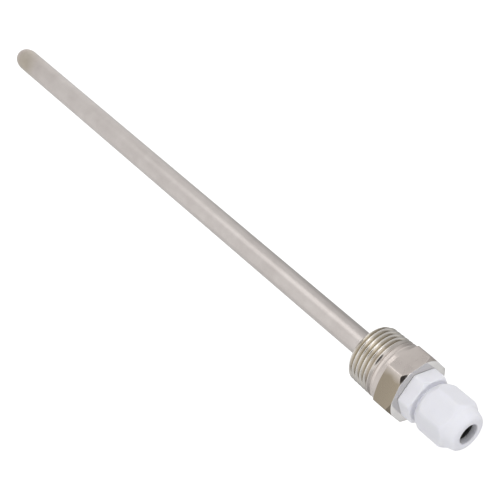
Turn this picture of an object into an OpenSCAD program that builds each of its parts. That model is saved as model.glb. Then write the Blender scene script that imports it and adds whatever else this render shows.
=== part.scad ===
// Thermowell: a closed stainless tube welded into a hexagon fitting with a tapered pipe thread,
// with a screwed plastic gland that grips the sensor's lead.
// +Z runs along the axis from the closed tip to the gland. The origin is on the axis, at the
// thread's hand-tight gauge plane, where the face of the socket stands when it is hand tight.

/* [Tube] */
// Outside diameter of the tube
tube_d = 8.4; // [8.2:0.1:10]
// Wall of the tube
tube_wall = 0.7; // [0.5:0.05:0.8]
// Length of tube and tip that stands out of the fitting's threaded end
stem_l = 210; // [60:1:400]
// Length of the rounded end cap
tip_round_l = 5; // [3:0.5:8]
// How far the end cap's rounding comes in from the tube's side before its flat
tip_round_r = 2.9; // [1.5:0.1:3.3]
// Leg of the weld that joins the tube to the fitting
weld_leg = 1.2; // [0.8:0.1:1.8]

/* [Pipe thread] */
// Crest diameter at the thread's small end
thread_d = 20.72; // [20:0.01:22]
// Pitch, 14 threads to the inch
thread_pitch = 1.814; // [1.6:0.001:2]
// Growth of the diameter for each millimetre of length
thread_taper = 0.0625; // [0.03:0.0005:0.08]
// Hand-tight engagement, from the small end to the gauge plane
gauge_l = 8.13; // [7.5:0.01:9]
// Length from the small end to the hexagon
thread_l = 14.2; // [13:0.1:18]
// Distance from the small end to the first full crest
first_crest = 2.4; // [2:0.05:2.6]
// Flat on each crest and each root
thread_flat = 0.12; // [0.08:0.01:0.2]
// Chamfer on the thread's small end
thread_chamfer = 1.1; // [0.6:0.1:1.4]

/* [Hexagon] */
// Width across the flats
hex_af = 22; // [22:0.5:27]
// Height
hex_h = 7.8; // [6:0.1:10]
// Slope of the chamfer at the gland, in degrees from the end face
hex_chamfer_angle = 25; // [15:1:35]
// Slope of the chamfer at the thread, in degrees from the end face
hex_thread_angle = 45; // [15:1:50]
// How much is turned off its sharp corners
hex_corner_cut = 0.2; // [0.05:0.05:0.6]
// How far inside the flats the turned circles on both hexagons' ends lie
chamfer_in = 0.1; // [0.05:0.05:0.5]

/* [Gland body] */
// Width across the flats
gland_af = 16; // [15.5:0.1:17]
// Width across the rounded corners
gland_corner_d = 18.1; // [17.6:0.1:18.3]
// Height of the hexagon
gland_hex_h = 5.15; // [4:0.05:8]
// Slope of its turned chamfers, in degrees from the end face
gland_chamfer_angle = 30; // [15:1:40]
// Turn of the hexagon against the fitting's
gland_turn = 10.7; // [0:0.1:60]
// Diameter of the connection thread
spigot_d = 12; // [11.6:0.1:12.4]
// Length of the connection thread
spigot_l = 8; // [6:0.1:10]
// Room under the connection thread in its socket
spigot_room = 0.4; // [0.2:0.1:1]
// Diameter of the way through for the lead
gland_bore_d = 7.6; // [7.4:0.1:8.4]
// Wall of the threaded neck, from the insert's pocket to the thread's crests
neck_wall = 1.54; // [1.3:0.01:1.7]
// Length of the neck above the hexagon
neck_l = 9.4; // [8.6:0.1:11]
// Depth of the groove between the hexagon and the neck's thread
relief_depth = 1; // [0.5:0.05:1.1]
// Length of that groove
relief_l = 0.8; // [0.5:0.1:1.5]
// Pitch of both gland threads
gland_pitch = 1.5; // [1.2:0.1:1.6]
// Break of the hexagon's lower corners
gland_break = 0.3; // [0.1:0.05:0.6]

/* [Clamping insert] */
// Wall of the insert's skirt
insert_wall = 0.6; // [0.5:0.05:0.7]
// Length of the skirt inside the neck
skirt_l = 6.4; // [5:0.1:6.8]
// Thickness of the rim that rests on the neck
rim_t = 0.8; // [0.6:0.1:1.2]
// How far the rim stands out from the skirt
rim_step = 0.85; // [0.6:0.05:1]
// Number of fingers
finger_count = 8; // [4:1:10]
// Gap between two fingers
finger_gap = 0.7; // [0.5:0.1:1]
// Length of the fingers
finger_l = 4.3; // [3:0.1:4.5]
// Thickness of the fingers at their tips
finger_tip_t = 0.4; // [0.3:0.05:0.6]

/* [Sleeve] */
// Bore of the rubber sleeve
seal_bore_d = 6.8; // [6.6:0.1:7]
// Wall of the sleeve
seal_wall = 1.15; // [0.9:0.05:1.2]
// How far the sleeve stops short of the skirt's lower end
seal_short = 1.5; // [0.5:0.1:3]
// How far the sleeve's flange laps the fingers' tips
flange_lap = 0.2; // [0.1:0.05:0.35]

/* [Dome nut] */
// Height of the nut
nut_h = 16.2; // [15.5:0.1:18]
// Gap between the gland's hexagon and the nut
nut_gap = 1.23; // [0.6:0.01:2]
// Width across the rounded corners
nut_corner_d = 17.8; // [17:0.1:18]
// Length of the chamfer at the nut's foot
nut_foot_l = 2.2; // [0.8:0.1:2.5]
// How far the foot chamfer comes in
nut_foot_in = 1.45; // [0.5:0.05:1.6]
// Height at which the corners start to slope in
nut_shoulder_h = 11.1; // [9:0.1:11.5]
// Diameter of the nut's flat end ring
crown_d = 10.2; // [9:0.1:12]
// Rounding of the crown
crown_round = 1.9; // [1:0.1:2.5]
// Draft of the crown's side, in degrees
crown_draft = 12; // [5:1:20]
// Diameter of the hole for the lead
nut_hole_d = 7.2; // [7:0.1:8]
// Thickness of the crown round the hole
crown_t = 2.4; // [1.5:0.1:3]

/* [Fits] */
// Radial clearance of the tube in the fitting
tube_fit = 0.03; // [0.02:0.01:0.1]
// Radial clearance of the connection thread in the fitting
spigot_fit = 0.05; // [0.03:0.01:0.1]
// Radial clearance of the dome nut on the neck, and of the insert in it
nut_fit = 0.06; // [0.05:0.01:0.1]
// Radial clearance of the sleeve in the insert
seal_fit = 0.05; // [0.02:0.01:0.1]
// Gap between the fingers and the nut's inner cone
cone_gap = 0.3; // [0.3:0.05:0.5]

/* [Hidden] */
$fn = 96;
eps = 0.01;
root3 = sqrt(3);

// stations along the axis
thread_z = -gauge_l;
hex_z = thread_z + thread_l;
hex_top_z = hex_z + hex_h;
tip_z = thread_z - stem_l;
tube_end_z = tip_z + tip_round_l;
gland_z = hex_top_z;
neck_z = gland_z + gland_hex_h;
neck_top_z = neck_z + neck_l;
nut_z = neck_z + nut_gap;
nut_top_z = nut_z + nut_h;
crown_inside_z = nut_top_z - crown_t;
socket_z = hex_top_z - spigot_l - spigot_room;
tube_top_z = socket_z;

// radii that follow from the sizes above, from the middle outwards
tube_r = tube_d / 2;
pocket_r = tube_r - tube_wall;
socket_r = spigot_d / 2 + spigot_fit;
hex_corner_r = hex_af / root3 - hex_corner_cut;
seal_r = seal_bore_d / 2 + seal_wall;
insert_bore_r = seal_r + seal_fit;
skirt_r = insert_bore_r + insert_wall;
rim_r = skirt_r + rim_step;
insert_pocket_r = skirt_r + nut_fit;
neck_r = insert_pocket_r + neck_wall;
nut_thread_r = neck_r + nut_fit;
finger_tip_r = insert_bore_r + finger_tip_t;

// stations inside the dome nut
rim_z = neck_top_z;
finger_z = rim_z + rim_t;
finger_top_z = finger_z + finger_l;
seal_bottom_z = rim_z - skirt_l + seal_short;

// Crest radius of the tapered thread at height z
function crest_r(z) = thread_d / 2 + (z - thread_z) * thread_taper / 2;

// One valley of a thread's half section, centred on height z. share is the part of the full
// depth that is cut, so that a thread can run out.
function valley(z, r, pitch, flat, share = 1) =
    let (depth = share * (pitch / 2 - flat) * root3, half = flat / 2 + depth / root3)
    [[r, z - half], [r - depth, z - flat / 2], [r - depth, z + flat / 2], [r, z + half]];

// Both ends of a crest's flat lie on one radius, as a narrow cylinder
function taper_valley(z, share) =
    let (below = crest_r(z - thread_pitch / 2), above = crest_r(z + thread_pitch / 2),
         v = valley(z, (below + above) / 2, thread_pitch, thread_flat, share))
    [[below, v[0][1]], v[1], v[2], [above, v[3][1]]];

// Outer edge of a parallel thread's half section from z0 up to z1
function parallel_thread(z0, z1, r, pitch, flat) =
    [for (z = [z0 + pitch / 2 : pitch : z1 - pitch / 2 + eps]) each valley(z, r, pitch, flat)];

// Hexagonal bar from z0 to z1 with turned corners, chamfered from its end faces: from low_r
// outwards below and from high_r outwards above
module turned_hexagon(af, z0, z1, corner_r, low_r, low_angle, high_r, high_angle) {
    intersection() {
        translate([0, 0, z0]) cylinder(h = z1 - z0, d = af * 2 / root3, $fn = 6);
        rotate_extrude()
            polygon([[0, z0], [low_r, z0], [corner_r, z0 + (corner_r - low_r) * tan(low_angle)],
                     [corner_r, z1 - (corner_r - high_r) * tan(high_angle)], [high_r, z1],
                     [0, z1]]);
    }
}

// A bore from z0 to z1
module bore(r, z0, z1) {
    translate([0, 0, z0]) cylinder(h = z1 - z0, r = r);
}

// Drawn tube, open at the fitting's end
module probe_tube() {
    color("#bdb6b2")
    difference() {
        translate([0, 0, tube_end_z]) cylinder(h = tube_top_z - tube_end_z, r = tube_r);
        bore(pocket_r, tube_end_z - 1, tube_top_z + 1);
    }
}

// Solid rounded cap, welded on to close the tube
module end_cap() {
    color("#8f8474")
    rotate_extrude()
        polygon([[0, tube_end_z],
                 for (a = [0 : 6 : 90])
                     [tube_r - tip_round_r * (1 - cos(a)), tube_end_z - tip_round_l * sin(a)],
                 [0, tip_z]]);
}

// Bead run round the tube where it leaves the fitting
module tube_weld() {
    color("#8d8578")
    rotate_extrude()
        difference() {
            translate([tube_r, thread_z - weld_leg]) square(weld_leg);
            translate([tube_r + weld_leg * 1.6, thread_z - weld_leg * 1.6])
                circle(r = weld_leg * norm([1.6, 0.6]));
        }
}

// Bar-turned fitting: tapered thread, collar and hexagon, bored for the tube and the gland
module hex_fitting() {
    last = floor((thread_l - first_crest) / thread_pitch) - 2;
    valleys = [for (k = [-1 : last])
                   taper_valley(thread_z + first_crest + (k + 0.5) * thread_pitch,
                                k < last ? 1 : 0.6)];
    color("#b3aa9b")
    difference() {
        union() {
            rotate_extrude()
                intersection() {
                    polygon([[0, thread_z], [crest_r(thread_z), thread_z],
                             for (v = valleys) each v,
                             [crest_r(hex_z), hex_z + eps], [0, hex_z + eps]]);
                    polygon([[0, thread_z],
                             [crest_r(thread_z) - thread_chamfer, thread_z],
                             [crest_r(thread_z) + hex_af, thread_z + thread_chamfer + hex_af],
                             [0, thread_z + thread_chamfer + hex_af]]);
                }
            rotate(30)
                turned_hexagon(hex_af, hex_z, hex_top_z, hex_corner_r,
                               hex_af / 2 - chamfer_in, hex_thread_angle,
                               hex_af / 2 - chamfer_in, hex_chamfer_angle);
        }
        bore(tube_r + tube_fit, thread_z - 1, hex_top_z);
        bore(socket_r, socket_z, hex_top_z + 1);
    }
}

// Moulded body: connection thread below, hexagon, and the neck that carries the dome nut
module gland_body() {
    color("#e4e4ea")
    difference() {
        union() {
            rotate_extrude()
                polygon([[0, gland_z - spigot_l],
                         for (p = parallel_thread(gland_z - spigot_l, gland_z,
                                                  spigot_d / 2, gland_pitch, gland_pitch / 6)) p,
                         [spigot_d / 2, gland_z + eps], [0, gland_z + eps]]);
            rotate(gland_turn)
                turned_hexagon(gland_af, gland_z, neck_z, gland_corner_d / 2,
                               gland_corner_d / 2 - gland_break, gland_chamfer_angle,
                               gland_af / 2 - chamfer_in, gland_chamfer_angle);
            rotate_extrude()
                polygon([[0, neck_z - eps], [neck_r - relief_depth, neck_z - eps],
                         [neck_r - relief_depth, neck_z + relief_l],
                         [neck_r, neck_z + relief_l + relief_depth / root3],
                         for (p = parallel_thread(neck_z + relief_l + relief_depth / root3,
                                                  neck_top_z, neck_r, gland_pitch,
                                                  gland_pitch / 6)) p,
                         [neck_r, neck_top_z], [0, neck_top_z]]);
        }
        bore(gland_bore_d / 2, gland_z - spigot_l - 1, neck_top_z + 1);
        bore(insert_pocket_r, rim_z - skirt_l - spigot_room, neck_top_z + 1);
    }
}

// Split ring of fingers that the nut's cone presses in on the sleeve
module clamping_insert() {
    color("#d9d9de")
    difference() {
        rotate_extrude()
            polygon([[insert_bore_r, rim_z - skirt_l], [skirt_r, rim_z - skirt_l],
                     [skirt_r, rim_z], [rim_r, rim_z], [rim_r, finger_z],
                     [rim_r - rim_step / 3, finger_z], [finger_tip_r, finger_top_z],
                     [insert_bore_r, finger_top_z]]);
        for (i = [0 : finger_count - 1])
            rotate(360 / finger_count * i)
                translate([0, -finger_gap / 2, finger_z])
                    cube([neck_r, finger_gap, finger_l + 1]);
    }
}

// Rubber sleeve inside the fingers, with a flange under the nut's crown
module seal_sleeve() {
    color("#1d1c1c")
    rotate_extrude()
        polygon([[seal_bore_d / 2, seal_bottom_z], [seal_r, seal_bottom_z],
                 [seal_r, finger_top_z], [insert_bore_r + flange_lap, finger_top_z],
                 [insert_bore_r + flange_lap, crown_inside_z],
                 [seal_bore_d / 2, crown_inside_z]]);
}

// Dome nut: hexagon with rounded corners, a stepped crown and a hole for the lead
module dome_nut() {
    corner_r = nut_corner_d / 2;
    crown_r = crown_d / 2;
    round_z = nut_top_z - crown_round;
    side = [crown_r + crown_round * cos(crown_draft), round_z + crown_round * sin(crown_draft)];
    shoulder_z = nut_z + nut_shoulder_h;
    shoulder_top_z = shoulder_z + 1.5;
    shoulder_r = side[0] + (side[1] - shoulder_top_z) * tan(crown_draft);
    color("#e9e9ef")
    difference() {
        union() {
            intersection() {
                translate([0, 0, nut_z])
                    cylinder(h = shoulder_top_z - nut_z, d = gland_af * 2 / root3, $fn = 6);
                rotate_extrude()
                    polygon([[0, nut_z], [corner_r - nut_foot_in, nut_z],
                             [corner_r, nut_z + nut_foot_l], [corner_r, shoulder_z],
                             [shoulder_r, shoulder_top_z], [0, shoulder_top_z]]);
            }
            rotate_extrude() {
                polygon([[0, shoulder_top_z - eps], [shoulder_r, shoulder_top_z - eps],
                         side, [crown_r, round_z], [crown_r, nut_top_z], [0, nut_top_z]]);
                translate([crown_r, round_z]) circle(r = crown_round);
            }
        }
        bore(nut_hole_d / 2, nut_z - 1, nut_top_z + 1);
        bore(nut_thread_r, nut_z - 1, neck_top_z + rim_t);
        rotate_extrude()
            polygon([[0, finger_z - eps], [rim_r + cone_gap, finger_z - eps],
                     [finger_tip_r + cone_gap, finger_top_z],
                     [finger_tip_r + cone_gap, crown_inside_z], [0, crown_inside_z]]);
    }
}

probe_tube();
end_cap();
tube_weld();
hex_fitting();
gland_body();
clamping_insert();
seal_sleeve();
dome_nut();
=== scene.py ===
import math

import bmesh
import bpy
import numpy as np
from mathutils import Matrix, Vector


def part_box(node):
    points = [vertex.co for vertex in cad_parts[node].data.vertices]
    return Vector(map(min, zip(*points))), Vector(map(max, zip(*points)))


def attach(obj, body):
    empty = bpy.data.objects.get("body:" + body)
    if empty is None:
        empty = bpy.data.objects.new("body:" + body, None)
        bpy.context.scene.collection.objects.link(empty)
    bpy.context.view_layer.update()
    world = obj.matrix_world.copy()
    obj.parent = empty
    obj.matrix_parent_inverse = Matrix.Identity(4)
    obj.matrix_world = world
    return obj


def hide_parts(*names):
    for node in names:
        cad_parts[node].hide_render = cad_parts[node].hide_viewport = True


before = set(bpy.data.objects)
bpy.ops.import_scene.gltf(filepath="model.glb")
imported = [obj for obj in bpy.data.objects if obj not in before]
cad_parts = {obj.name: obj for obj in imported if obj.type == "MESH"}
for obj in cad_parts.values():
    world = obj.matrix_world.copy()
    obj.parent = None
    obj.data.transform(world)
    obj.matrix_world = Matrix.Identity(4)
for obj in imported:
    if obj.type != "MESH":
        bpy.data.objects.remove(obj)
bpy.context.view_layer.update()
mm = 0.001


# ---------------------------------------------------------------- threaded fitting
# The fitting is turned from hexagon bar in stainless steel, with a 1/2-14 NPT thread cut on a
# 1:16 taper. It is bored through for the tube and counterbored for the gland.

low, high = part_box("hex_fitting")
face_z, hex_top_z = low[2] / mm, high[2] / mm
tube_bore_r, socket_r = 4.23, 6.05
socket_z = hex_top_z - 8.4

npt_pitch, npt_depth, npt_flat = 1.814, 1.28, 0.28
npt_end_r = 10.36  # of the crests at the threaded end
npt_taper = 32  # the radius grows by 1 in 32
first_crest_z = face_z + 2.8
run_out_z, run_out_l = face_z + 13.0, 4.6
end_face_r, lead_in_r = 9.0, 9.26

hex_af = 2 * high[0] / mm
hex_z = hex_top_z - 7.6
corner_cut = 0.2  # turned off the bar's sharp corners
ring_r = hex_af / 2 - 0.1  # of the circle that the chamfer leaves on the end face
thread_side, gland_side = 23, 41  # slopes of the two chamfers, in degrees
chamfer_out, edge_break = 0.3, 0.08

# Every skin has a column of points at each of these turns, and more at a hexagon's corners.
turn = np.linspace(0, 2 * math.pi, 241)
near_corners = [math.radians(30 + 60 * i + d) for i in range(6) for d in (-1.1, -0.6, 0.6, 1.1)]
turn = np.sort(np.append(turn, near_corners))


def soft_min(a, b, k):
    """The lower of two values, with the change from one to the other rounded over k."""
    h = np.clip(0.5 + 0.5 * (b - a) / k, 0, 1)
    return b * (1 - h) + a * h - k * h * (1 - h)


def bar_r(across, first_flat, corner_r, k):
    """Radius of a hexagon bar all the way round, its corners turned down to corner_r."""
    off = (turn - math.radians(first_flat) + math.pi / 6) % (math.pi / 3) - math.pi / 6
    flat = across / 2 / np.cos(off)
    return soft_min(flat, corner_r + 0 * flat, k)


def rounded(path, radius, steps=4):
    """A half section as (r, z) points, with each inner corner rounded."""
    path = [(r + 0 * turn, z + 0 * turn) for r, z in path]
    out = [path[0]]
    for (ar, az), (br, bz), (cr, cz) in zip(path, path[1:], path[2:]):
        before, after = np.hypot(ar - br, az - bz) + 1e-9, np.hypot(cr - br, cz - bz) + 1e-9
        reach = np.minimum(radius, 0.45 * np.minimum(before, after))
        p, q = reach / before, reach / after
        start = (br + (ar - br) * p, bz + (az - bz) * p)
        end = (br + (cr - br) * q, bz + (cz - bz) * q)
        for i in range(steps + 1):
            t = i / steps
            out.append(tuple(start[j] * (1 - t) ** 2 + 2 * (br, bz)[j] * t * (1 - t)
                             + end[j] * t ** 2 for j in (0, 1)))
    return out + [path[-1]]


def screw_rows(z0, z1, pitch, crest_z, radius_at, per_turn=20):
    """Rows that climb with a right-hand thread from z0 to z1; radius_at(z, off_crest)."""
    rows = []
    count = round((math.ceil((z1 - z0) / pitch) + 1) * per_turn)
    for i in range(count + 1):
        z = np.clip(z0 + pitch * (i / per_turn - 1 + turn / (2 * math.pi)), z0, z1)
        phase = (z - crest_z) / pitch - turn / (2 * math.pi)
        off = np.abs(phase - np.round(phase)) * pitch
        rows.append((radius_at(z, off), z))
    return rows


def v_cut(off, flat, depth, k):
    """How deep a 60 degree thread is cut at a distance from its crest."""
    raw = (off - flat / 2) * math.sqrt(3)
    return soft_min(-soft_min(-raw, 0 * raw, k), depth + 0 * raw, k)


def skin(name, section, body, crease, closed=True):
    """A turned or moulded skin from its half section, one (r, z) row after another."""
    rows = np.array([np.stack([(r + 0 * turn) * np.cos(turn), (r + 0 * turn) * np.sin(turn),
                               z + 0 * turn], 1) for r, z in section]) * mm
    down, across = rows.shape[:2]
    mesh = bpy.data.meshes.new(name)
    faces = []
    for i in range(down if closed else down - 1):
        a, b = i * across, (i + 1) % down * across
        faces += [(a + j, a + j + 1, b + j + 1, b + j) for j in range(across - 1)]
    mesh.from_pydata(rows.reshape(-1, 3).tolist(), [], faces)
    edit = bmesh.new()
    edit.from_mesh(mesh)
    bmesh.ops.remove_doubles(edit, verts=edit.verts, dist=0.0008 * mm)
    bmesh.ops.dissolve_degenerate(edit, edges=edit.edges, dist=0.0002 * mm)
    bmesh.ops.recalc_face_normals(edit, faces=edit.faces)
    edit.to_mesh(mesh)
    edit.free()
    mesh.shade_smooth()
    mesh.set_sharp_from_angle(angle=math.radians(crease))
    piece = bpy.data.objects.new(name, mesh)
    bpy.context.scene.collection.objects.link(piece)
    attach(piece, body)
    return piece


def npt_crest_r(z):
    return npt_end_r + (z - face_z) / npt_taper


def npt_r(z, off):
    """Radius of the pipe thread, chamfered at its end and fading out towards the hexagon."""
    share = np.clip((run_out_z - z) / run_out_l, 0, 1)
    thread = npt_crest_r(z) - v_cut(off, npt_flat, npt_depth, 0.1) * share
    return soft_min(thread, lead_in_r + (z - face_z), 0.05)


flats = bar_r(hex_af, 0, hex_af / math.sqrt(3) - corner_cut, 0.06)
low_rise = (flats - ring_r) * math.tan(math.radians(thread_side))
turned_off = np.maximum(flats - hex_af / 2 - chamfer_out, edge_break)
rise = turned_off * math.tan(math.radians(gland_side))
in_bore = (tube_bore_r, face_z + 2)
fitting_section = (
    rounded([in_bore, (tube_bore_r, face_z), (end_face_r, face_z)], 0.1)
    + screw_rows(face_z, run_out_z, npt_pitch, first_crest_z, npt_r)
    + rounded([(npt_crest_r(run_out_z), run_out_z), (npt_crest_r(hex_z), hex_z),
               (ring_r, hex_z), (flats, hex_z + low_rise), (flats, hex_top_z - rise),
               (flats - turned_off, hex_top_z), (socket_r, hex_top_z), (socket_r, socket_z),
               (tube_bore_r, socket_z), in_bore], 0.07)[:-1])
fitting = skin("threaded_fitting", fitting_section, "well", 24)
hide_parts("hex_fitting")


def new_group(name, inputs, outputs):
    """An empty node group with its sockets; returns the group, its inputs and its outputs."""
    group = bpy.data.node_groups.new(name, "ShaderNodeTree")
    for label, kind, value in inputs:
        socket = group.interface.new_socket(label, in_out="INPUT", socket_type=kind)
        socket.default_value = value
    for label, kind in outputs:
        group.interface.new_socket(label, in_out="OUTPUT", socket_type=kind)
    return group, group.nodes.new("NodeGroupInput"), group.nodes.new("NodeGroupOutput")


def put(tree, kind, wires=(), **settings):
    """Adds a node, sets it and wires its inputs: a value is set, a socket is linked."""
    node = tree.nodes.new(kind)
    for key, value in settings.items():
        setattr(node, key, value)
    for key, value in dict(wires).items():
        if isinstance(value, bpy.types.NodeSocket):
            tree.links.new(value, node.inputs[key])
        else:
            node.inputs[key].default_value = value
    return node


def here(tree):
    """A point's place in the piece's own coordinates."""
    return put(tree, "ShaderNodeTexCoord").outputs["Object"]


def split(tree, vector):
    """The x, y and z of a vector socket."""
    return put(tree, "ShaderNodeSeparateXYZ", {0: vector}).outputs


def off_axis(tree, place):
    """How far a place lies from the axis of the well."""
    flat = put(tree, "ShaderNodeVectorMath", {0: place, 1: (1, 1, 0)}, operation="MULTIPLY")
    length = put(tree, "ShaderNodeVectorMath", {0: flat.outputs[0]}, operation="LENGTH")
    return length.outputs["Value"]


def noise(tree, place, scale, detail, **more):
    return put(tree, "ShaderNodeTexNoise",
               {"Vector": place, "Scale": scale, "Detail": detail, **more}).outputs["Fac"]


def worked(tree, operation, *terms):
    """One step of arithmetic on sockets and values."""
    return put(tree, "ShaderNodeMath", dict(enumerate(terms)), operation=operation).outputs[0]


def spread(tree, value, low_in, high_in, low_out, high_out):
    """A socket's value taken from one span to another."""
    return put(tree, "ShaderNodeMapRange",
               {"Value": value, "From Min": low_in, "From Max": high_in,
                "To Min": low_out, "To Max": high_out}).outputs["Result"]


def between(tree, factor, first, second):
    """A value that goes from first to second as the factor goes from 0 to 1."""
    return put(tree, "ShaderNodeMix", {0: factor, 2: first, 3: second}).outputs[0]


def blended(tree, factor, first, second, how="MIX"):
    """A colour that goes from first to second as the factor goes from 0 to 1."""
    return put(tree, "ShaderNodeMix", {"Factor": factor, 6: first, 7: second},
               data_type="RGBA", blend_type=how).outputs[2]


def coloured(tree, fac, stops):
    """A colour ramp on a socket, from (position, (r, g, b)) stops."""
    ramp = put(tree, "ShaderNodeValToRGB", {"Fac": fac})
    elements = ramp.color_ramp.elements
    while len(elements) < len(stops):
        elements.new(0.5)
    for element, (position, colour) in zip(elements, stops):
        element.position = position
        element.color = (*colour, 1)
    return ramp.outputs["Color"]


def finish_named(name):
    """A material with nothing but its shader; returns the material, its tree and the shader."""
    material = bpy.data.materials.new(name)
    material.use_nodes = True
    tree = material.node_tree
    tree.nodes.clear()
    shader = tree.nodes.new("ShaderNodeBsdfPrincipled")
    out = tree.nodes.new("ShaderNodeOutputMaterial")
    tree.links.new(shader.outputs[0], out.inputs["Surface"])
    return material, tree, shader


def finish(tree, shader, colour, roughness, height, distance):
    """Links a finish's colour, roughness and small relief to its shader."""
    tree.links.new(colour, shader.inputs["Base Color"])
    tree.links.new(roughness, shader.inputs["Roughness"])
    bump = put(tree, "ShaderNodeBump", {"Height": height, "Distance": distance})
    tree.links.new(bump.outputs["Normal"], shader.inputs["Normal"])


def give(piece, material):
    piece.data.materials.clear()
    piece.data.materials.append(material)


# Tool marks: noise drawn out into lines. With Along far above Around they run round the axis,
# as on turned faces, and with Around far above Along they run down it, as on drawn steel.
tool_marks, given, result = new_group(
    "tool_marks",
    [("Around", "NodeSocketFloat", 60), ("Along", "NodeSocketFloat", 9000)],
    [("Lines", "NodeSocketFloat"), ("Blotch", "NodeSocketFloat")])
place = here(tool_marks)
x, y, z = split(tool_marks, place)
stretched = put(tool_marks, "ShaderNodeCombineXYZ",
                {0: worked(tool_marks, "MULTIPLY", x, given.outputs["Around"]),
                 1: worked(tool_marks, "MULTIPLY", y, given.outputs["Around"]),
                 2: worked(tool_marks, "MULTIPLY", z, given.outputs["Along"])})
lines = noise(tool_marks, stretched.outputs[0], 1.0, 4.0, Roughness=0.6)
blotch = noise(tool_marks, place, 170.0, 5.0, Roughness=0.55)
tool_marks.links.new(worked(tool_marks, "SUBTRACT", lines, 0.5), result.inputs["Lines"])
tool_marks.links.new(blotch, result.inputs["Blotch"])


def marked(tree, around, along):
    """Tool marks on a finish; its outputs are Lines and Blotch."""
    return put(tree, "ShaderNodeGroup", {"Around": around, "Along": along},
               node_tree=tool_marks).outputs


# Turned stainless: satin on the bar and its end face, with painted shade making it darker and
# warmer deep in the thread, and painted shade in a brown tone on the flats of the +x side.
faced_steel, painted_shade_brown = (0.61, 0.597, 0.588, 1), (0.280, 0.239, 0.184, 1)
torn_z, clean_z = face_z + 8.0, face_z + 11.0  # the thread gives way to the plain bar
turned_steel, tree, shader = finish_named("turned_stainless")
marks = marked(tree, 40, 9000)
torn = marked(tree, 170, 2300)
drawn = marked(tree, 3500, 120)
place = here(tree)
x, y, z = split(tree, place)
shrunk = worked(tree, "MULTIPLY_ADD", z, -1 / npt_taper, -npt_crest_r(0) * mm)
under_crest = worked(tree, "ADD", off_axis(tree, place), shrunk)
# Painted shade: the thread's colour darkens and warms towards the roots of its grooves.
groove_shade = spread(tree, under_crest, -1.3 * mm, -0.1 * mm, 1.0, 0.0)
thread = coloured(tree, groove_shade, [(0.0, (0.650, 0.620, 0.585)), (0.3, (0.645, 0.610, 0.560)),
                                 (0.9, (0.415, 0.372, 0.292))])
bar = coloured(tree, marks["Blotch"],
               [(0.3, (0.505, 0.458, 0.430)), (0.7, (0.553, 0.503, 0.472))])
on_bar = spread(tree, z, torn_z * mm, clean_z * mm, 0.0, 1.0)
on_hexagon = spread(tree, z, (hex_z - 0.1) * mm, (hex_z + 0.1) * mm, 0.0, 1.0)
on_end = spread(tree, z, (hex_top_z - 0.12) * mm, (hex_top_z - 0.06) * mm, 0.0, 1.0)
# Painted shade: the hexagon's flats on the +x side, away from the light, are darkened to a brown
# tone.
side_away_from_light = spread(tree, worked(tree, "MULTIPLY", x, marks["Blotch"]), -0.3 * mm, 1.3 * mm,
                  0.0, 1.0)
bar_with_painted_shade = blended(tree, worked(tree, "MULTIPLY", side_away_from_light, on_hexagon), bar, painted_shade_brown)
steel = blended(tree, on_end, blended(tree, on_bar, thread, bar_with_painted_shade), faced_steel)
facing = put(tree, "ShaderNodeNewGeometry").outputs["True Normal"]
faced = spread(tree, split(tree, facing)[2], 0.5, 0.8, 0.0, 1.0)
satin = spread(tree, marks["Blotch"], 0.3, 0.7, 0.24, 0.33)
lined = between(tree, on_hexagon, between(tree, on_bar, marks["Lines"], torn["Lines"]),
                drawn["Lines"])
deep = between(tree, on_hexagon, spread(tree, on_bar, 0.0, 1.0, 2.2, 7.0), 1.0)
deep = worked(tree, "MULTIPLY", deep, spread(tree, faced, 0.0, 1.0, 1.0, 0.15))
finish(tree, shader, steel, worked(tree, "MULTIPLY_ADD", faced, -0.16, satin),
       worked(tree, "MULTIPLY", lined, deep), 0.005 * mm)
shader.inputs["Metallic"].default_value = 1.0
give(fitting, turned_steel)


# ---------------------------------------------------------------- tube and end
# The well is a drawn stainless tube, 8.4 mm across, pushed through the fitting. A solid round
# cap is welded on to close it, and the heat has left straw and brown colours near the weld.

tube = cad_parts["probe_tube"]
tube_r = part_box("probe_tube")[1][0] / mm
tip_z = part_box("end_cap")[0][2] / mm
cap_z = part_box("end_cap")[1][2] / mm
cap_in = 2.9  # how far the cap's side comes in before its flat
bend = np.linspace(0, math.pi / 2, 28)
cap_section = (
    [(0.0, cap_z), (2.0, cap_z), (tube_r, cap_z)]
    + [(tube_r - cap_in * (1 - math.cos(a)), cap_z - (cap_z - tip_z) * math.sin(a))
       for a in bend[1:]]
    + [(1.0, tip_z), (0.5, tip_z), (0.0, tip_z)])
end_cap = skin("rounded_end", cap_section, "well", 50, closed=False)
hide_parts("end_cap")

# Darkest at the tip itself, then straw heat colours, fading into clean steel at heat_l from it.
# On one side, where the torch dwelt, a browner bloom lies over them.
heat_l = 30
bloom_at, bloom_colour = (2.5 * mm, -3.4 * mm, (tip_z + 8.0) * mm), (0.765, 0.737, 0.650, 1)
heat_tint, given, result = new_group(
    "heat_tint", [("Steel", "NodeSocketColor", (0.5, 0.5, 0.5, 1))],
    [("Color", "NodeSocketColor")])
place = here(heat_tint)
wander = worked(heat_tint, "MULTIPLY_ADD", noise(heat_tint, place, 320.0, 3.0), 1.6 * mm,
                -0.8 * mm)
height = worked(heat_tint, "ADD", split(heat_tint, place)[2], wander)
along = spread(heat_tint, height, tip_z * mm, (tip_z + heat_l) * mm, 0.0, 1.0)
tint = coloured(heat_tint, along,
                [(0.0, (0.45, 0.43, 0.42)), (0.03, (0.82, 0.79, 0.78)),
                 (0.10, (0.88, 0.84, 0.80)), (0.20, (0.89, 0.87, 0.81)),
                 (0.30, (0.90, 0.88, 0.85)), (0.55, (0.93, 0.92, 0.91)),
                 (1.0, (1.0, 1.0, 1.0))])
from_bloom = put(heat_tint, "ShaderNodeVectorMath", {0: place, 1: bloom_at},
                 operation="DISTANCE").outputs["Value"]
bloom = spread(heat_tint, from_bloom, 1.5 * mm, 7.0 * mm, 1.0, 0.0)
browned = blended(heat_tint, bloom, tint, bloom_colour)
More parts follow.
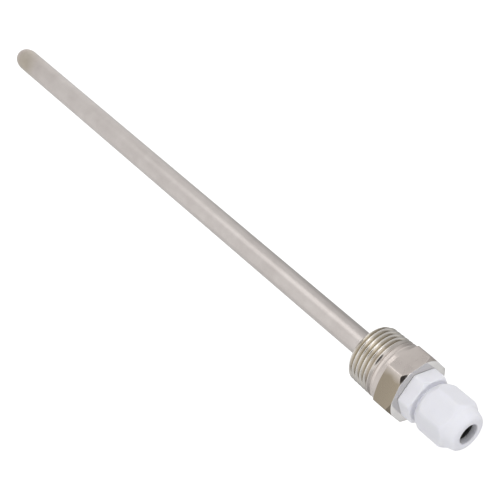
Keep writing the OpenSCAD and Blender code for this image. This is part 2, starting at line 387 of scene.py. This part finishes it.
heat_tint.links.new(blended(heat_tint, 1.0, given.outputs["Steel"], browned, "MULTIPLY"),
                    result.inputs["Color"])

drawn_steel, tree, shader = finish_named("drawn_stainless_tube")
marks = marked(tree, 6000, 60)
metal = coloured(tree, marks["Blotch"],
                 [(0.3, (0.480, 0.443, 0.424)), (0.7, (0.540, 0.503, 0.482))])
tinted = put(tree, "ShaderNodeGroup", {"Steel": metal}, node_tree=heat_tint)
finish(tree, shader, tinted.outputs["Color"], spread(tree, marks["Lines"], -0.3, 0.3, 0.30, 0.42),
       marks["Lines"], 0.003 * mm)
shader.inputs["Metallic"].default_value = 1.0
give(tube, drawn_steel)
give(end_cap, drawn_steel)


# ---------------------------------------------------------------- weld at the fitting
# A fillet bead runs round the tube where it leaves the fitting's threaded end. It was laid in
# overlapping steps, so it is rippled, and brushed clean afterwards.

bead, waist = 1.2, 0.62  # its legs, and its thickness on the slant as a share of them
step = 0.05 * np.abs(np.sin(turn * 16))
bead_section = [(tube_r, face_z)]
for i in range(9):
    a = math.pi / 2 * i / 8
    bow = waist + (1 - waist) * abs(math.cos(2 * a)) ** 1.2
    out = bead * bow - step * math.sin(2 * a)
    bead_section.append((tube_r + out * math.cos(a), face_z - out * math.sin(a)))
weld = skin("weld_bead", bead_section, "well", 60)
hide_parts("tube_weld")

bead_steel, tree, shader = finish_named("brushed_weld")
marks = marked(tree, 1500, 1500)
finish(tree, shader,
       coloured(tree, marks["Blotch"], [(0.3, (0.36, 0.31, 0.25)), (0.7, (0.50, 0.46, 0.42))]),
       spread(tree, marks["Blotch"], 0.3, 0.7, 0.30, 0.48), marks["Lines"], 0.02 * mm)
shader.inputs["Metallic"].default_value = 1.0
give(weld, bead_steel)


# ---------------------------------------------------------------- gland body
# The body is moulded in light grey polyamide: a 12 mm thread that screws into the fitting, a
# 16 mm hexagon with turned corners, and a threaded neck that carries the dome nut.

low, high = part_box("gland_body")
gland_end_z, neck_top_z = low[2] / mm, high[2] / mm
gland_z = hex_top_z
gland_af, gland_corner_r, gland_slope = 16.0, 9.05, 30
gland_pitch, gland_flat, gland_depth = 1.5, 0.25, 0.866
thread_round, thread_fade = 0.16, 0.7
spigot_r, spigot_lead_r, spigot_top_z = 6.0, 5.15, gland_z - 0.3
neck_z = gland_z + 5.15
neck_r, neck_lead_r, neck_fade = 6.8, 6.1, 0.5
groove_r, groove_top_z, neck_thread_z = neck_r - 1, neck_z + 0.8, neck_z + 1.38
pocket_r, pocket_z = 5.26, neck_top_z - 6.8
lead_way_r, end_ring_r = 3.8, 5.0


def spigot_thread_r(z, off):
    """The thread in the fitting, with a lead-in below and fading out under the hexagon."""
    cut = v_cut(off, gland_flat, gland_depth, thread_round)
    end = soft_min(spigot_r + 0 * z, spigot_lead_r + (z - gland_end_z), 0.1)
    share = np.clip((hex_top_z - 0.6 - z) / thread_fade, 0, 1)
    return soft_min(spigot_r - cut * share, end, 0.05)


def neck_thread_r(z, off):
    """The thread under the nut, fading in above the groove and with a lead-in at the top."""
    cut = v_cut(off, gland_flat, gland_depth, thread_round)
    share = np.clip((z - neck_z - 1.2) / neck_fade, 0, 1)
    end = soft_min(neck_r + 0 * z, neck_lead_r + (neck_top_z - z), 0.1)
    return soft_min(neck_r - cut * share, end, 0.05)


sides = bar_r(gland_af, 40.7, gland_corner_r, 0.35)
ring_r = gland_af / 2 - 0.1
rise = (sides - ring_r) * math.tan(math.radians(gland_slope))
gland_section = (
    screw_rows(gland_end_z, spigot_top_z, gland_pitch, gland_end_z + 0.5, spigot_thread_r)
    + rounded([(spigot_r, spigot_top_z), (spigot_r, gland_z), (sides - 0.15, gland_z),
               (sides, gland_z + 0.15), (sides, neck_z - rise), (ring_r, neck_z),
               (groove_r, neck_z), (groove_r, groove_top_z), (neck_r, neck_thread_z)],
              0.2)[:-1]
    + screw_rows(neck_thread_z, neck_top_z, gland_pitch, neck_z + 1.0, neck_thread_r)
    + rounded([(neck_lead_r, neck_top_z), (pocket_r, neck_top_z), (pocket_r, pocket_z),
               (lead_way_r, pocket_z), (lead_way_r, gland_end_z), (end_ring_r, gland_end_z)],
              0.15)[1:])
gland = skin("gland_body_moulding", gland_section, "well", 40)
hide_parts("gland_body")

# Moulded grain: fine spark-eroded texture, faint flow clouds and a soft change of colour.
moulded_grain, given, result = new_group(
    "moulded_grain",
    [("Color", "NodeSocketColor", (0.8, 0.8, 0.8, 1)), ("Cloud", "NodeSocketFloat", 0.05)],
    [("Color", "NodeSocketColor"), ("Grain", "NodeSocketFloat"),
     ("Cloud", "NodeSocketFloat")])
place = here(moulded_grain)
fine = noise(moulded_grain, place, 5200.0, 3.0, Roughness=0.6)
flow = noise(moulded_grain, place, 150.0, 3.0, Distortion=0.6)
away = worked(moulded_grain, "SUBTRACT", flow, 0.5)
shift = worked(moulded_grain, "MULTIPLY", away, given.outputs["Cloud"])
scaled = put(moulded_grain, "ShaderNodeVectorMath",
             {0: given.outputs["Color"], "Scale": worked(moulded_grain, "ADD", shift, 1.0)},
             operation="SCALE")
moulded_grain.links.new(scaled.outputs[0], result.inputs["Color"])
moulded_grain.links.new(fine, result.inputs["Grain"])
moulded_grain.links.new(flow, result.inputs["Cloud"])


def polyamide(name, colour, rough_low, rough_high, bore_r=0.0):
    """Moulded polyamide; the wall of a hole of radius bore_r is darker, painted shade inside the
    hole.
    """
    material, tree, shader = finish_named(name)
    grain = put(tree, "ShaderNodeGroup", {"Color": (*colour, 1), "Cloud": 0.08},
                node_tree=moulded_grain).outputs
    # Painted shade: the colour darkens towards the wall of the hole.
    bore_shade = spread(tree, off_axis(tree, here(tree)), (bore_r + 0.03) * mm,
                    (bore_r + 0.4) * mm, 0.72, 1.0)
    bore_shaded = put(tree, "ShaderNodeVectorMath", {0: grain["Color"], "Scale": bore_shade},
               operation="SCALE")
    finish(tree, shader, bore_shaded.outputs[0],
           spread(tree, grain["Cloud"], 0.3, 0.7, rough_low, rough_high),
           grain["Grain"], 0.006 * mm)
    shader.inputs["Subsurface Weight"].default_value = 0.5
    shader.inputs["Subsurface Radius"].default_value = (1, 1, 1.1)
    shader.inputs["Subsurface Scale"].default_value = 0.8 * mm
    return material


give(gland, polyamide("gland_polyamide", (0.81, 0.81, 0.856), 0.40, 0.52))


# ---------------------------------------------------------------- clamping insert
# A split ring of springy fingers, moulded in the same polyamide. It drops into the neck and is
# squeezed by the cone inside the dome nut.

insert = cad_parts["clamping_insert"]
give(insert, polyamide("insert_polyamide", (0.74, 0.74, 0.785), 0.42, 0.55))


# ---------------------------------------------------------------- rubber sleeve
# A black rubber tube inside the fingers seals on the lead. Its flange sits under the crown of
# the dome nut and shows through the hole.

low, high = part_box("seal_sleeve")
sleeve_z, crown_inside_z = low[2] / mm, high[2] / mm
seal_bore_r, sleeve_r, flange_r = 3.4, 4.55, 4.8
flange_z = crown_inside_z - 0.53
in_foot = (4.0, sleeve_z)
sleeve_section = rounded(
    [in_foot, (sleeve_r, sleeve_z), (sleeve_r, flange_z), (flange_r, flange_z),
     (flange_r, crown_inside_z), (seal_bore_r, crown_inside_z), (seal_bore_r, sleeve_z),
     in_foot], 0.2)[:-1]
sleeve = skin("rubber_sleeve", sleeve_section, "clamp", 60)
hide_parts("seal_sleeve")

# Black rubber with a fine pale dust on it, in soft clouds.
sleeve_rubber, tree, shader = finish_named("sleeve_rubber")
place = here(tree)
fine = noise(tree, place, 9000.0, 4.0)
cloud = noise(tree, place, 420.0, 3.0)
dusty = worked(tree, "MULTIPLY", worked(tree, "MULTIPLY", fine, cloud), 0.3)
finish(tree, shader,
       coloured(tree, dusty, [(0.0, (0.004, 0.004, 0.004)), (0.35, (0.02, 0.02, 0.02))]),
       spread(tree, fine, 0.3, 0.7, 0.5, 0.7), fine, 0.01 * mm)
give(sleeve, sleeve_rubber)


# ---------------------------------------------------------------- dome nut
# The nut is moulded in the same light grey polyamide. Its hexagon has turned corners and runs
# into a stepped, rounded crown with a plain hole for the lead.

low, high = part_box("dome_nut")
nut_z, nut_top_z = low[2] / mm, high[2] / mm
nut_af, nut_corner_r = 16.0, 8.9
foot_r, foot_l = 7.45, 2.2
shoulder_r, shoulder_l = 7.54, 1.5
shoulder_z = nut_z + 11.1
crown_flat_r, crown_round = 5.1, 1.95
hole_r, nut_bore_r, nut_mouth_r = 3.6, 6.86, 7.2
room_r, cone_r = 5.3, 6.4  # round the sleeve's flange, and at the wide end of the cone
cone_z, cone_top_z = neck_top_z + 0.8, neck_top_z + 5.1
in_mouth = (nut_bore_r, nut_z + 0.5)

sides = bar_r(nut_af, 30, nut_corner_r, 0.45)
foot = nut_z + (sides - foot_r) / (nut_corner_r - foot_r) * foot_l
meet = shoulder_z + (nut_corner_r - sides) / (nut_corner_r - shoulder_r) * shoulder_l
crown = [(7.08, nut_top_z - 1.9)]
crown += [(crown_flat_r + crown_round * math.cos(a),
           nut_top_z - crown_round + crown_round * math.sin(a))
          for a in np.linspace(math.radians(18), math.pi / 2, 14)]
nut_section = (
    rounded([in_mouth, (nut_mouth_r, nut_z), (foot_r, nut_z), (sides, foot), (sides, meet),
             (shoulder_r, shoulder_z + shoulder_l)] + crown
            + [(hole_r, nut_top_z), (hole_r, crown_inside_z), (room_r, crown_inside_z),
               (room_r, cone_top_z), (cone_r, cone_z), (nut_bore_r, cone_z), in_mouth],
            0.42)[:-1])
nut = skin("dome_nut_moulding", nut_section, "nut", 45)
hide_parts("dome_nut")
give(nut, polyamide("nut_polyamide", (0.81, 0.81, 0.858), 0.36, 0.48, hole_r))


# ---------------------------------------------------------------- camera, floor and lights
# A long lens looks down on the gland, with the tube running away from it. Floor and room look
# plain and pale. What the metal mirrors of them is graded, brighter in front and on the right
# and darker behind, as between a window and the back of a workshop.

camera_data = bpy.data.cameras.new("camera")
camera_data.sensor_width = 36
camera_data.lens = 111.82
camera_data.clip_end = 20
camera = bpy.data.objects.new("camera", camera_data)
right = Vector((-0.64798, 0.44710, 0.61661))
up = Vector((-0.76165, -0.38038, -0.52458))
back = Vector((0.0, -0.80957, 0.58702))
camera.matrix_world = (Matrix.Translation((0.00035, -0.43097, 0.24203))
                       @ Matrix((right, up, back)).transposed().to_4x4())
bpy.context.scene.collection.objects.link(camera)
bpy.context.scene.camera = camera
bpy.context.scene.view_settings.view_transform = "Standard"


def looked_at(tree, ray):
    """1 where something is seen straight, or through a clear piece, and not in the metal."""
    return worked(tree, "MAXIMUM", ray["Is Camera Ray"], ray["Is Transmission Ray"])


floor_mesh = bpy.data.meshes.new("floor")
size, floor_z = 12.0, -1.3
floor_mesh.from_pydata([(-size, -size, floor_z), (size, -size, floor_z), (size, size, floor_z),
                        (-size, size, floor_z)], [], [(0, 1, 2, 3)])
floor = bpy.data.objects.new("floor", floor_mesh)
bpy.context.scene.collection.objects.link(floor)
pale, tree, shader = finish_named("pale_floor")
tree.nodes.remove(shader)
ray = put(tree, "ShaderNodeLightPath").outputs
place = here(tree)
x, y, z = split(tree, place)
front = spread(tree, y, -2.4, -1.3, 0.30, 0.0)
middle = spread(tree, y, -0.3, 0.9, 0.50, 0.28)
to_right = spread(tree, x, -0.6, 2.4, 0.0, 0.42)
away = put(tree, "ShaderNodeVectorMath", {0: place}, operation="LENGTH").outputs["Value"]
close_behind = worked(tree, "MULTIPLY", spread(tree, away, 1.80, 2.22, 1.0, 0.0),
                      spread(tree, y, -0.6, 0.3, 0.0, 1.0))
level = worked(tree, "ADD", worked(tree, "ADD", front, middle), to_right)
level = worked(tree, "MULTIPLY_ADD", close_behind, spread(tree, x, -0.5, 0.5, 0.45, 0.12),
               level)
mirrored = worked(tree, "MULTIPLY", ray["Is Glossy Ray"], level)
glow = worked(tree, "MULTIPLY_ADD", looked_at(tree, ray), 0.85, mirrored)
plain = put(tree, "ShaderNodeBsdfDiffuse", {"Color": (0.45, 0.45, 0.45, 1)})
lit = put(tree, "ShaderNodeEmission", {"Strength": glow})
both = put(tree, "ShaderNodeAddShader", {0: plain.outputs[0], 1: lit.outputs[0]})
tree.links.new(both.outputs[0], tree.nodes["Material Output"].inputs["Surface"])
give(floor, pale)

world = bpy.data.worlds.new("room")
world.use_nodes = True
bpy.context.scene.world = world
tree = world.node_tree
tree.nodes.clear()
ray = put(tree, "ShaderNodeLightPath").outputs
way = put(tree, "ShaderNodeTexCoord").outputs["Generated"]
x, y, z = split(tree, way)
sideways = worked(tree, "ABSOLUTE", x)
mirrored = between(tree, spread(tree, z, 0.30, 0.55, 0.0, 1.0),
                   spread(tree, y, -0.85, 0.25, 1.5, 0.45),
                   spread(tree, sideways, 0.38, 0.62, 1.2, 0.70))
lighting = spread(tree, z, 0.0, 0.9, 0.95, 0.50)
# A dark opening high in front, which the turned corner of the hexagon mirrors.
opening = put(tree, "ShaderNodeVectorMath", {0: way, 1: (0.0, -0.47, 0.88)},
              operation="DOT_PRODUCT").outputs["Value"]
level = worked(tree, "MULTIPLY", spread(tree, opening, 0.955, 0.97, 1.0, 0.05),
               between(tree, ray["Is Glossy Ray"], lighting, mirrored))
room = put(tree, "ShaderNodeBackground", {"Color": (1, 1, 1, 1), "Strength": level})
white = put(tree, "ShaderNodeBackground", {"Color": (1, 1, 1, 1), "Strength": 1.0})
pick = put(tree, "ShaderNodeMixShader",
           {0: looked_at(tree, ray), 1: room.outputs[0], 2: white.outputs[0]})
put(tree, "ShaderNodeOutputWorld", {"Surface": pick.outputs[0]})


def lamp(name, place, aim, width, tall, power, mirrored=True):
    """A soft lamp. One that isn't mirrored lights the piece but doesn't show in the metal."""
    data = bpy.data.lights.new(name, "AREA")
    data.shape, data.size, data.size_y = "RECTANGLE", width, tall
    data.energy = power
    light = bpy.data.objects.new(name, data)
    light.location = place
    light.rotation_euler = (Vector(aim) - Vector(place)).to_track_quat("-Z", "Y").to_euler()
    light.visible_camera = False
    light.visible_glossy = mirrored
    bpy.context.scene.collection.objects.link(light)


lamp("overhead", (-0.20, -0.05, 1.15), (0, 0, 0.01), 0.32, 0.45, 1.08)
lamp("left", (-1.08, -0.87, 0.30), (0, 0, 0), 1.9, 1.5, 9.3, False)
lamp("right", (1.08, -0.87, 0.30), (0, 0, 0), 1.9, 1.5, 7.4, False)
lamp("low_left", (-0.95, -0.25, -1.12), (0, 0, -0.15), 0.9, 0.9, 0.4)
lamp("low_front", (-0.42, -0.90, -0.60), (0, 0, -0.05), 0.68, 0.36, 0.90)
